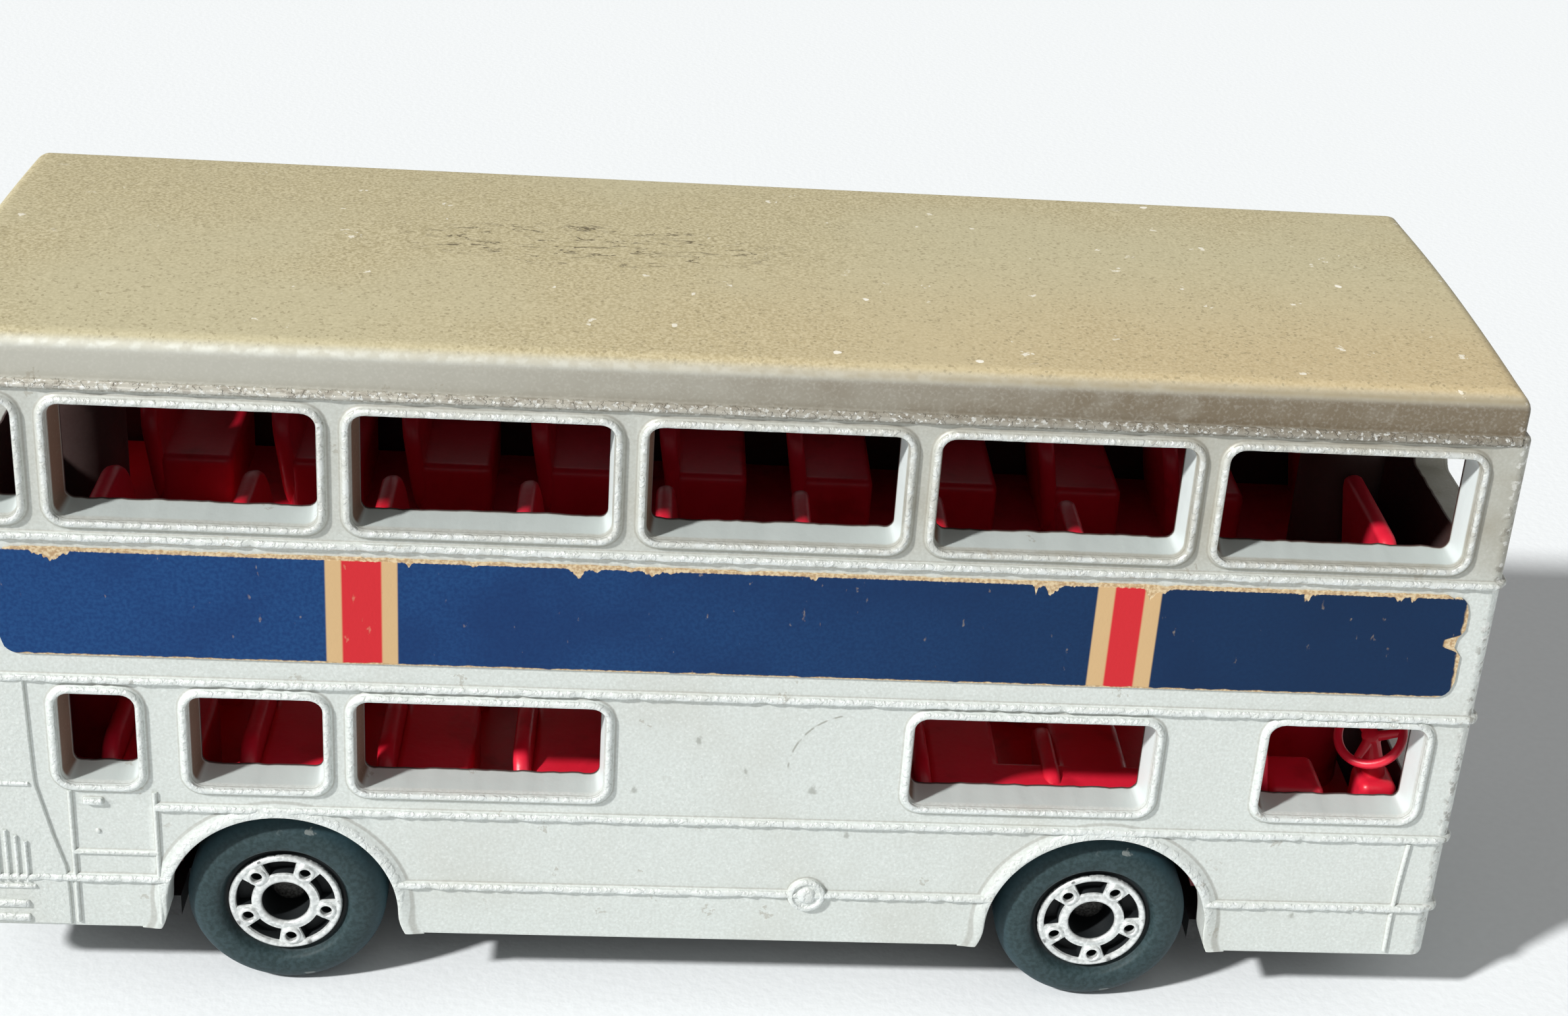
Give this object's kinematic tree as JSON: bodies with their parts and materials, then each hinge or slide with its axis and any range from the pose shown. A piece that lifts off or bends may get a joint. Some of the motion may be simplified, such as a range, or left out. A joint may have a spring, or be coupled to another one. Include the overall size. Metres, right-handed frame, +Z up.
{
  "type": "toy double-deck bus",
  "caption": "Pocket-size die-cast toy double-deck bus with open windows, moulded seats on both decks, paper side labels and plastic wheels that roll on wire axles.",
  "frame": {"origin": "on the ground under the middle of the bus", "axes": "+X to the front of the bus, +Y to its left (the door side), +Z up"},
  "size_m": [0.0762, 0.0256, 0.0367],
  "materials": {
    "body_paint": "silver metallic paint on a zinc casting, chipped on its edges",
    "base_plastic": "plain black",
    "seat_plastic": "moulded red",
    "axle_steel": "drawn wire",
    "wheel_plastic": "charcoal tyre with a silver foiled hub face",
    "label_paper": "blue print with cream and red bars"
  },
  "bodies": {
    "chassis": {"body_shell": "body_paint", "base_plate": "base_plastic", "lower_deck": "seat_plastic", "upper_deck": "seat_plastic", "right_label": "label_paper", "left_label": "label_paper"},
    "front_axle": {"front_axle": "axle_steel"},
    "rear_axle": {"rear_axle": "axle_steel"},
    "front_right_wheel": {"front_right_wheel": "wheel_plastic"},
    "front_left_wheel": {"front_left_wheel": "wheel_plastic"},
    "rear_right_wheel": {"rear_right_wheel": "wheel_plastic"},
    "rear_left_wheel": {"rear_left_wheel": "wheel_plastic"}
  },
  "joints": [
    {"name": "front_axle_spin", "type": "hinge", "parent": "chassis", "child": "front_axle", "pos_m": [0.02, 0, 0.005], "axis": [0, 1, 0], "continuous": true},
    {"name": "rear_axle_spin", "type": "hinge", "parent": "chassis", "child": "rear_axle", "pos_m": [-0.0215, 0, 0.005], "axis": [0, 1, 0], "continuous": true},
    {"name": "front_right_wheel_spin", "type": "hinge", "parent": "front_axle", "child": "front_right_wheel", "pos_m": [0.02, -0.0104, 0.005], "axis": [0, 1, 0], "continuous": true},
    {"name": "front_left_wheel_spin", "type": "hinge", "parent": "front_axle", "child": "front_left_wheel", "pos_m": [0.02, 0.0104, 0.005], "axis": [0, 1, 0], "continuous": true},
    {"name": "rear_right_wheel_spin", "type": "hinge", "parent": "rear_axle", "child": "rear_right_wheel", "pos_m": [-0.0215, -0.0104, 0.005], "axis": [0, 1, 0], "continuous": true},
    {"name": "rear_left_wheel_spin", "type": "hinge", "parent": "rear_axle", "child": "rear_left_wheel", "pos_m": [-0.0215, 0.0104, 0.005], "axis": [0, 1, 0], "continuous": true}
  ]
}
